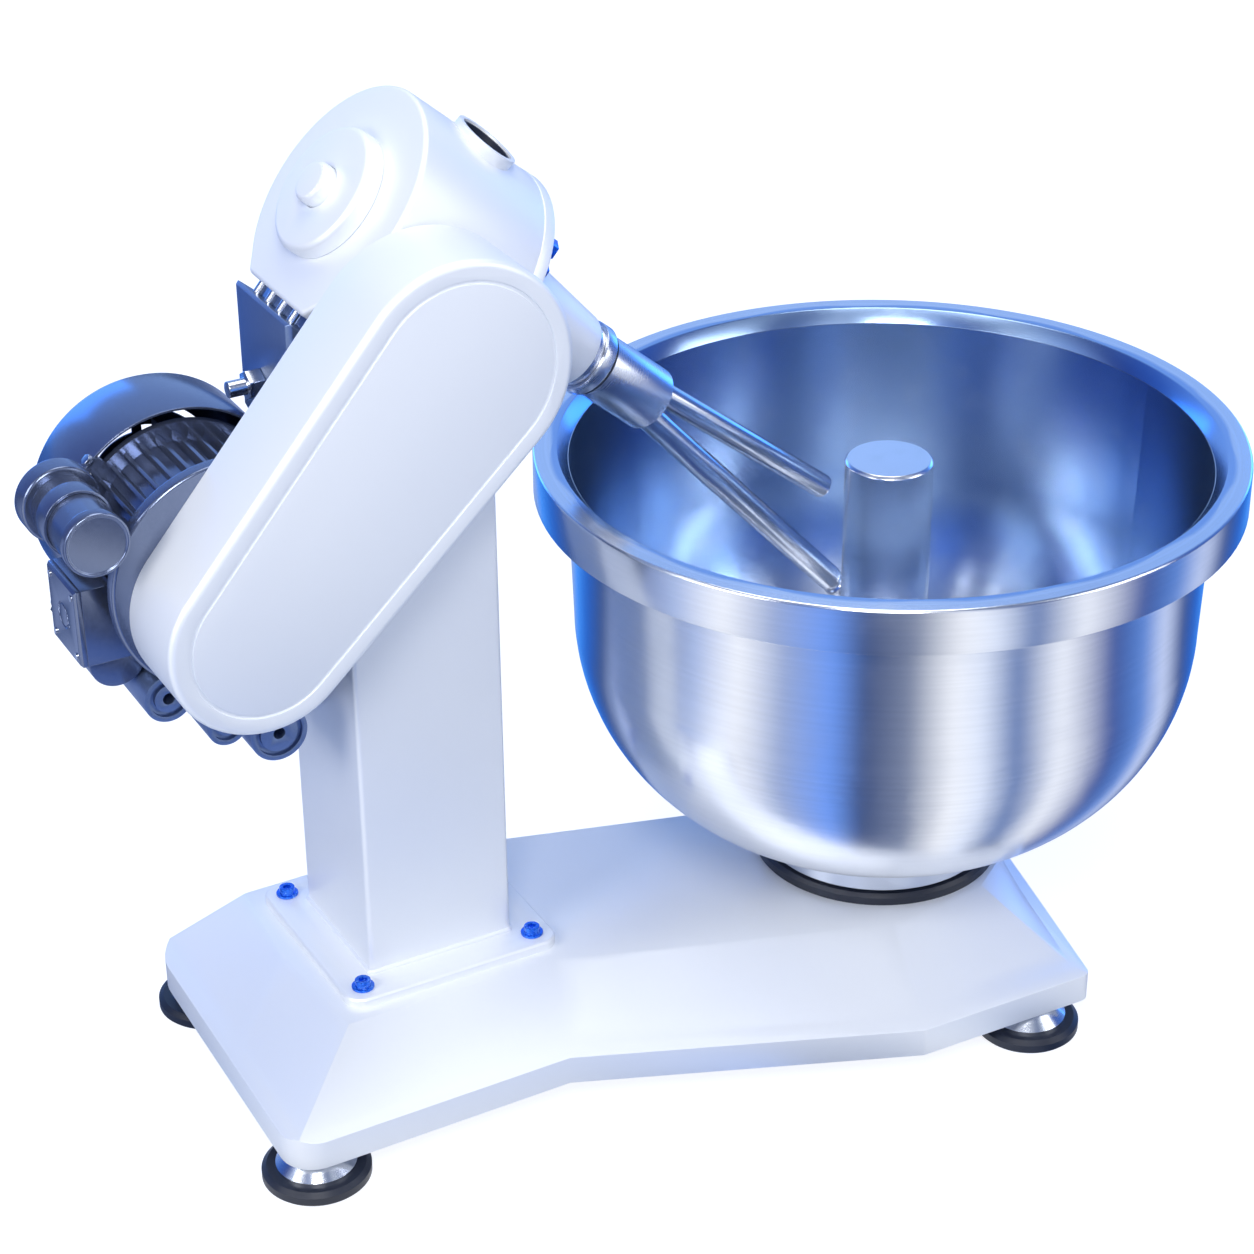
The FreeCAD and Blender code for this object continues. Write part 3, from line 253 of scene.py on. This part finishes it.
floor_paint = start("pale_floor")
seen_directly = floor_paint.node("LightPath", {}, {}, "Is Camera Ray")
seen_in_steel = floor_paint.node("LightPath", {}, {}, "Is Glossy Ray")
matt = floor_paint.node("BsdfDiffuse", {}, {"Color": (0.32, 0.38, 0.50, 1)})
floor_spot = floor_paint.node("TexCoord", {}, {}, "Object")
from_bowl = floor_paint.node("VectorMath", {"operation": "SUBTRACT"}, {0: floor_spot, 1: bowl_middle})
far = floor_paint.node("VectorMath", {"operation": "LENGTH"}, {0: from_bowl}, "Value").smooth(1.0, 4.0)
lift = floor_paint.node("Emission", {}, {"Color": (1, 1, 1, 1),
                                         "Strength": seen_directly * (0.86 + far * 0.2)})
both = floor_paint.node("AddShader", {}, {0: matt, 1: lift})
shine = floor_paint.node("Emission", {}, {"Color": panels_seen(floor_paint, from_bowl, low_panels, 0.84)})
all_ways = floor_paint.node("MixShader", {}, {0: seen_in_steel, 1: both, 2: shine})
floor_paint.node("OutputMaterial", {}, {"Surface": all_ways})
floor_half = 12
ground = bpy.data.meshes.new("floor")
ground.from_pydata([(-floor_half, -floor_half, 0), (floor_half, -floor_half, 0),
                    (floor_half, floor_half, 0), (-floor_half, floor_half, 0)], [], [(0, 1, 2, 3)])
ground.materials.append(bpy.data.materials["pale_floor"])
floor = bpy.data.objects.new("floor", ground)
bpy.context.scene.collection.objects.link(floor)


# Base. A long hollow bar of folded and welded plate, ground smooth and sprayed
# with a cool white gloss enamel. Each folded edge is a few millimetres round.
def place_in(paint):
    """The place of a surface point on the machine at rest, in metres."""
    return paint.node("TexCoord", {}, {}, "Object")


def grain(paint, spot, scale, detail=3):
    """Soft noise between 0 and 1, with a number of grains to the metre."""
    return paint.node("TexNoise", {}, {"Vector": spot, "Scale": scale, "Detail": detail})


def bumped(paint, height_map, depth):
    """The surface's normal under a relief of a real depth in metres."""
    return paint.node("Bump", {}, {"Height": height_map, "Distance": depth, "Strength": 1.0})


def blend(paint, share, first, second):
    """A mix of two colours, or of a colour and a field."""
    return paint.node("MixRGB", {}, {0: share, 1: first, 2: second})


def finish(paint, inputs):
    """Close a material with its shader."""
    shader = paint.node("BsdfPrincipled", {}, inputs)
    paint.node("OutputMaterial", {}, {"Surface": shader})


def enamel():
    """Sprayed gloss enamel: a faint orange peel, slow shifts of tone, and darker, duller blue-grey
    patches in the lowest ten centimetres.
    """
    paint = start("enamel")
    spot = place_in(paint)
    slow = grain(paint, spot, 4)
    fine = grain(paint, spot, 60)
    peel = grain(paint, spot, 420, 1)
    tall = paint.node("SeparateXYZ", {}, {0: spot}, 2)
    # Darker blue-grey patches, rougher and with less coat, fade out between 3 and 10 cm above the floor.
    low_dull_patches = (1 - tall.smooth(0.03, 0.10)) * fine.smooth(0.45, 0.75) * 0.5
    tone = blend(paint, slow, (0.84, 0.86, 0.92, 1), (0.89, 0.91, 0.95, 1))
    low_patched_tone = blend(paint, low_dull_patches, tone, (0.62, 0.66, 0.74, 1))
    finish(paint, {"Base Color": low_patched_tone, "Roughness": 0.20 + fine * 0.10 + low_dull_patches * 0.3,
                   "Coat Weight": 0.4 - low_dull_patches * 0.5, "Coat Roughness": 0.08,
                   "Normal": bumped(paint, peel, 0.00002)})


def dress(material, *names):
    """Give pieces a finish."""
    for name in names:
        for slot in nodes[name].material_slots:
            slot.material = bpy.data.materials[material]


same_point = 0.000002
same_plane = math.radians(0.3)
sharp_corner = math.radians(28)
smooth_below = math.radians(35)


def eased(name, width):
    """A copy of a piece with its sharp edges rounded, which stands for the piece."""
    mesh = nodes[name].data.copy()
    shape = bmesh.new()
    shape.from_mesh(mesh)
    bmesh.ops.remove_doubles(shape, verts=shape.verts, dist=same_point)
    bmesh.ops.dissolve_limit(shape, angle_limit=same_plane, verts=shape.verts, edges=shape.edges)
    corners = [e for e in shape.edges if e.is_manifold and e.calc_face_angle() > sharp_corner]
    bmesh.ops.bevel(shape, geom=corners, offset=width, offset_type="OFFSET", segments=3,
                    profile=0.5, affect="EDGES", clamp_overlap=True)
    for face in shape.faces:
        face.smooth = True
    shape.to_mesh(mesh)
    shape.free()
    mesh.set_sharp_from_angle(angle=smooth_below)
    piece = bpy.data.objects.new(name + "_finished", mesh)
    bpy.context.scene.collection.objects.link(piece)
    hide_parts(name)
    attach(piece, nodes[name]["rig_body"])


enamel()
dress("enamel", "base_shell", "column_plate", "column_tube", "gearbox_housing", "bearing_cap",
      "shaft_end_cap", "front_flange", "nose_housing", "belt_cover", "filler_collar")
eased("base_shell", 0.003)
eased("belt_cover", 0.0005)
eased("column_plate", 0.0015)
eased("column_tube", 0.0006)
eased("filler_collar", 0.0012)


# Feet. Each is a black rubber pad under a turned bright steel cone, whose stud
# screws into the base to level the machine.
def rubber(name, dark, pale):
    """Moulded rubber: satin, finely pitted, and rubbed paler in places."""
    paint = start(name)
    spot = place_in(paint)
    pits = grain(paint, spot, 900, 2)
    worn = grain(paint, spot, 35, 4).smooth(0.5, 0.8)
    finish(paint, {"Base Color": blend(paint, worn * 0.5, dark, pale),
                   "Roughness": 0.42 + worn * 0.2, "Normal": bumped(paint, pits, 0.00006)})


def lathe_marks(paint, spot, point, axis, fineness):
    """Fine rings around an axis, as turning leaves them, between 0 and 1."""
    arm = paint.node("VectorMath", {"operation": "SUBTRACT"}, {0: spot, 1: point})
    run = paint.node("VectorMath", {"operation": "DOT_PRODUCT"}, {0: arm, 1: axis}, "Value")
    reach = paint.node("VectorMath", {"operation": "LENGTH"}, {0: arm}, "Value")
    square = reach * reach - run * run
    out = square.maths("ABSOLUTE", square) ** 0.5
    rings = paint.node("CombineXYZ", {}, {0: run * fineness, 1: out * fineness})
    return grain(paint, rings, 1, 3)


def turned_steel(name, point, axis, base, roughness, depth, fineness=1200):
    """Bright steel turned about an axis: clean, with fine rings and a few dull smears."""
    paint = start(name)
    spot = place_in(paint)
    rings = lathe_marks(paint, spot, point, axis, fineness)
    smear = grain(paint, spot, 14, 4).smooth(0.45, 0.8)
    finish(paint, {"Base Color": blend(paint, smear * 0.4, base, (0.50, 0.53, 0.58, 1)),
                   "Metallic": 1.0, "Roughness": roughness + rings * 0.06 + smear * 0.08,
                   "Normal": bumped(paint, rings, depth)})


rubber("pad_rubber", (0.012, 0.016, 0.030, 1), (0.045, 0.052, 0.075, 1))
for corner in ("front_left", "back_left", "front_right", "back_right"):
    low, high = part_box("foot_pad_" + corner)
    centre = (low + high) / 2
    turned_steel("cone_" + corner, centre, (0, 0, 1), (0.72, 0.75, 0.80, 1), 0.16, 0.00002)
    dress("pad_rubber", "foot_pad_" + corner)
    dress("cone_" + corner, "foot_dome_" + corner)


# Column. A square steel tube on a plate that four blue plated screws hold down.
# Tube and plate are welded all round, and the bead is painted over.
def plated():
    """Blue plating on steel: glossy, with paler specks where it has worn."""
    paint = start("plated_blue")
    spot = place_in(paint)
    worn = grain(paint, spot, 260, 3).smooth(0.55, 0.8)
    finish(paint, {"Base Color": blend(paint, worn, (0.01, 0.15, 0.78, 1), (0.22, 0.45, 0.95, 1)),
                   "Metallic": 0.7, "Roughness": 0.18 + worn * 0.25, "Coat Weight": 0.4,
                   "Coat Roughness": 0.08})


def bead_along(name, points, radius, material):
    """A round closed bead along a line of points."""
    curve = bpy.data.curves.new(name, "CURVE")
    curve.dimensions = "3D"
    curve.bevel_depth = radius
    curve.bevel_resolution = 4
    line = curve.splines.new("POLY")
    line.points.add(len(points) - 1)
    for held, point in zip(line.points, points):
        held.co = (*point, 1)
    line.use_cyclic_u = True
    curve.materials.append(bpy.data.materials[material])
    bead = bpy.data.objects.new(name, curve)
    bpy.context.scene.collection.objects.link(bead)
    return bead


plated()
dress("plated_blue", "column_bolts", "flange_bolts")
eased("column_bolts", 0.0005)
eased("flange_bolts", 0.0008)
tube_low, tube_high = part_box("column_tube")
plate_top = tube_low.z
corner_radius = 0.005
corner_steps = 4
weld_radius = 0.003
weld_rise = weld_radius * 0.3
outline = []
for side_x, side_y, turn_from in ((1, 1, 0), (-1, 1, 90), (-1, -1, 180), (1, -1, 270)):
    middle_x = (tube_high.x if side_x > 0 else tube_low.x) - side_x * corner_radius
    middle_y = (tube_high.y if side_y > 0 else tube_low.y) - side_y * corner_radius
    for step in range(corner_steps + 1):
        angle = math.radians(turn_from + 90 / corner_steps * step)
        outline.append((middle_x + corner_radius * math.cos(angle),
                        middle_y + corner_radius * math.sin(angle), plate_top + weld_rise))
weld = bead_along("column_weld", outline, weld_radius, "enamel")
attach(weld, "frame")


# Bowl seat and spindle. The bowl's bright hub turns just above a black ring on the
# base, on a spindle in two ball bearings.
turned_steel("hub_steel", bowl_middle, (0, 0, 1), (0.58, 0.62, 0.70, 1), 0.10, 0.00001)
turned_steel("bearing_steel", bowl_middle, (0, 0, 1), (0.60, 0.62, 0.66, 1), 0.20, 0.00002)
dress("pad_rubber", "bowl_seat")
dress("hub_steel", "bowl_spindle")
dress("bearing_steel", "spindle_bearings", "mount_studs", "cover_backplate")


# Bowl. Spun stainless sheet, satin brushed around its axis inside and out, with a
# deep pressed rim band. A stout post of the same steel stands on its floor.
def brushed_bowl():
    """Satin stainless: brushed rings, slow cloudy shifts, and painted shade with a painted blue
    reflection on the inner wall above the floor.
    """
    paint = start("brushed_bowl")
    spot = place_in(paint)
    rings = lathe_marks(paint, spot, bowl_middle, (0, 0, 1), 1500)
    broad = lathe_marks(paint, spot, bowl_middle, (0, 0, 1), 260)
    cloud = grain(paint, spot, 5, 4)
    wiped = grain(paint, spot, 22, 5).smooth(0.5, 0.85)
    facing = paint.node("TexCoord", {}, {}, "Normal")
    from_axis = paint.node("VectorMath", {"operation": "SUBTRACT"}, {0: spot, 1: bowl_middle})
    outward = paint.node("VectorMath", {"operation": "MULTIPLY"}, {0: from_axis, 1: (1, 1, 0)})
    inside = 1 - paint.node("VectorMath", {"operation": "DOT_PRODUCT"},
                            {0: facing, 1: outward}, "Value").smooth(-0.02, 0.0)
    satin = blend(paint, broad, (0.70, 0.72, 0.76, 1), (0.82, 0.84, 0.88, 1))
    tall = paint.node("SeparateXYZ", {}, {0: spot}, 2)
    # Painted shade and painted blue reflection: the inner wall above about 0.22 to 0.36 m is darker and
    # blue, and the inner floor stays pale.
    painted_inner_shade = blend(paint, tall.smooth(0.22, 0.36), (0.72, 0.75, 0.80, 1), (0.36, 0.50, 0.72, 1))
    tone = blend(paint, inside, satin, painted_inner_shade)
    finish(paint, {"Base Color": blend(paint, wiped * 0.2, tone, (0.62, 0.65, 0.70, 1)),
                   "Metallic": 1.0, "Roughness": 0.17 + rings * 0.06 + cloud * 0.05 + wiped * 0.05,
                   "Anisotropic": 0.7, "Anisotropic Rotation": 0.25,
                   "Normal": bumped(paint, rings, 0.000006)})


brushed_bowl()
turned_steel("post_steel", bowl_middle, (0, 0, 1), (0.84, 0.85, 0.88, 1), 0.19, 0.000006)
dress("brushed_bowl", "bowl_shell", "bowl_rim")
dress("post_steel", "bowl_post")
eased("bowl_rim", 0.0012)
eased("bowl_post", 0.0008)


def circle_about(middle, axis, radius, count=96):
    """Points of a circle around an axis."""
    first = Vector(axis).orthogonal().normalized()
    second = Vector(axis).cross(first)
    turns = [2 * math.pi * k / count for k in range(count)]
    return [middle + (first * math.cos(a) + second * math.sin(a)) * radius for a in turns]


post_low, post_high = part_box("bowl_post")
post_weld_radius = 0.002
post_foot = Vector((bowl_middle.x, bowl_middle.y, post_low.z))
around_post = circle_about(post_foot, (0, 0, 1), (post_high.x - post_low.x) / 2)
weld = bead_along("post_weld", around_post, post_weld_radius, "post_steel")
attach(weld, "bowl")


# Head mount. A blue-grey sand casting bolted through the column's lid, with studs
# up to the gearbox foot and the belt's tension screw on its left.
def casting(name, low_tone, high_tone, coarse, depth, gloss):
    """Painted casting: sandy under a metallic satin paint, with painted shade in the hollows of the sand
    and random patches of tone.
    """
    paint = start(name)
    spot = place_in(paint)
    sand_and_hollow_shade = grain(paint, spot, coarse, 3)
    patch = grain(paint, spot, 12, 4)
    # The sand's hollows are painted darker as painted shade; the patches vary the tone at random.
    tone = blend(paint, sand_and_hollow_shade * 0.5 + patch * 0.5, low_tone, high_tone)
    finish(paint, {"Base Color": tone, "Metallic": 0.8, "Roughness": gloss + sand_and_hollow_shade * 0.10,
                   "Coat Weight": 0.2, "Coat Roughness": 0.15,
                   "Normal": bumped(paint, sand_and_hollow_shade, depth)})


casting("cast_block", (0.150, 0.215, 0.380, 1), (0.230, 0.310, 0.500, 1), 420, 0.00010, 0.30)
dress("cast_block", "mount_block", "motor_bracket")


# Gearbox. A white drum with a boss and end cap at the back, an oil filler on top,
# a bolted front flange and a cone that carries the slanting shaft. A worm under
# the shaft turns a bronze wheel on it.
turn = next(j for j in frame["joints"] if j["name"] == "fork_turn")
tool_point = Vector(turn["pos_m"])
tool_axis = Vector(turn["axis"]).normalized()
turned_steel("shaft_steel", tool_point, tuple(tool_axis), (0.60, 0.62, 0.66, 1), 0.16, 0.00002)
turned_steel("gear_bronze", tool_point, tuple(tool_axis), (0.60, 0.40, 0.14, 1), 0.28, 0.00002)


def moulded(name, dark, pale):
    """Dark moulded plastic with a fine spark texture."""
    paint = start(name)
    spot = place_in(paint)
    spark = grain(paint, spot, 1400, 2)
    worn = grain(paint, spot, 30, 3)
    finish(paint, {"Base Color": blend(paint, worn, dark, pale), "Roughness": 0.38 + spark * 0.15,
                   "Normal": bumped(paint, spark, 0.00004)})


moulded("dark_moulding", (0.012, 0.016, 0.035, 1), (0.022, 0.028, 0.055, 1))
dress("dark_moulding", "filler_plug", "cooling_fan", "cable_gland")
dress("shaft_steel", "tool_shaft", "tool_bearings", "tension_bolt", "cowl_screws")
dress("gear_bronze", "worm_wheel")
for name, width in (("gearbox_housing", 0.0025), ("bearing_cap", 0.002), ("shaft_end_cap", 0.002),
                    ("front_flange", 0.0015), ("nose_housing", 0.0012), ("mount_block", 0.002),
                    ("tension_bolt", 0.0008), ("cowl_screws", 0.0005)):
    eased(name, width)


# Fork. Two round bars in a turned sleeve, all polished steel. The long bar has a
# necked, rounded tip near the bowl's floor. A black ring sits on the sleeve's neck.
def polished(name, base, roughness):
    """Polished bar: mirror bright with hairline draw marks along it."""
    paint = start(name)
    spot = place_in(paint)
    hair = grain(paint, spot, 700, 2)
    cloud = grain(paint, spot, 25, 4)
    finish(paint, {"Base Color": blend(paint, cloud, base, (0.60, 0.63, 0.69, 1)), "Metallic": 1.0,
                   "Roughness": roughness + hair * 0.04 + cloud * 0.04,
                   "Normal": bumped(paint, hair, 0.000004)})


polished("bar_steel", (0.68, 0.70, 0.74, 1), 0.18)
turned_steel("sleeve_steel", tool_point, tuple(tool_axis), (0.76, 0.78, 0.83, 1), 0.22, 0.00001)
dress("bar_steel", "long_prong", "short_prong")
dress("sleeve_steel", "fork_sleeve", "sleeve_collar", "nose_seal")
for name, width in (("fork_sleeve", 0.0008), ("sleeve_collar", 0.0008), ("long_prong", 0.0010),
                    ("short_prong", 0.0008)):
    eased(name, width)
neck_along = 0.3765
neck_radius = 0.0335
ring_radius = 0.0022
around_neck = circle_about(tool_point + tool_axis * neck_along, tool_axis, neck_radius)
neck_ring = bead_along("neck_ring", around_neck, ring_radius, "pad_rubber")
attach(neck_ring, "fork")


# Belt drive. Two V-belts run from the motor's small cast pulley to the large one
# on the worm shaft, under a deep pressed cover with a bead line near its edge.
turn = next(j for j in frame["joints"] if j["name"] == "worm_turn")
worm_point = Vector(turn["pos_m"])
turned_steel("worm_steel", worm_point, (0, 1, 0), (0.60, 0.62, 0.66, 1), 0.18, 0.00002)
turned_steel("pulley_iron", worm_point, (0, 1, 0), (0.22, 0.23, 0.25, 1), 0.34, 0.00004, 700)
rubber("belt_rubber", (0.010, 0.010, 0.012, 1), (0.040, 0.040, 0.044, 1))
dress("worm_steel", "worm_shaft", "worm_bearings", "motor_shaft")
dress("pulley_iron", "driven_pulley", "drive_pulley")
dress("belt_rubber", "v_belts")


# Motor. A finned blue-grey motor behind the cover's low end, with a front shield, a
# fan cowl held by steel screws, a capacitor, and a terminal box with a screwed lid.
casting("motor_paint", (0.130, 0.160, 0.250, 1), (0.210, 0.250, 0.360, 1), 260, 0.00001, 0.17)
turned_steel("rotor_iron", worm_point, (0, 1, 0), (0.40, 0.41, 0.44, 1), 0.35, 0.00004, 700)
dress("motor_paint", "motor_flange", "motor_housing", "rear_shield", "fan_cowl", "capacitor",
      "capacitor_cap", "capacitor_clamp", "terminal_box", "terminal_lid")
dress("rotor_iron", "rotor_core", "motor_stator")
for name, width in (("motor_bracket", 0.002), ("terminal_box", 0.0015), ("terminal_lid", 0.001),
                    ("fan_cowl", 0.0008), ("motor_flange", 0.0010), ("motor_housing", 0.0006),
                    ("capacitor", 0.0008), ("capacitor_cap", 0.0008), ("capacitor_clamp", 0.0006)):
    eased(name, width)
lid_low, lid_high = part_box("terminal_lid")
lid_inset = 0.009
screw_radius = 0.0032
screw_proud = 0.0012
screw_sunk = 0.0001
heads = bmesh.new()
for y in (lid_low.y + lid_inset, lid_high.y - lid_inset):
    for z in (lid_low.z + lid_inset, lid_high.z - lid_inset):
        place = Matrix.Translation((lid_low.x - screw_proud / 2 + screw_sunk, y, z))
        lie = Matrix.Rotation(math.radians(90), 4, "Y")
        bmesh.ops.create_cone(heads, cap_ends=True, segments=24, radius1=screw_radius,
                              radius2=screw_radius, depth=screw_proud, matrix=place @ lie)
screw_mesh = bpy.data.meshes.new("lid_screws")
heads.to_mesh(screw_mesh)
heads.free()
screw_mesh.materials.append(bpy.data.materials["shaft_steel"])
lid_screws = bpy.data.objects.new("lid_screws", screw_mesh)
bpy.context.scene.collection.objects.link(lid_screws)
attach(lid_screws, "frame")


low, high = cad_box
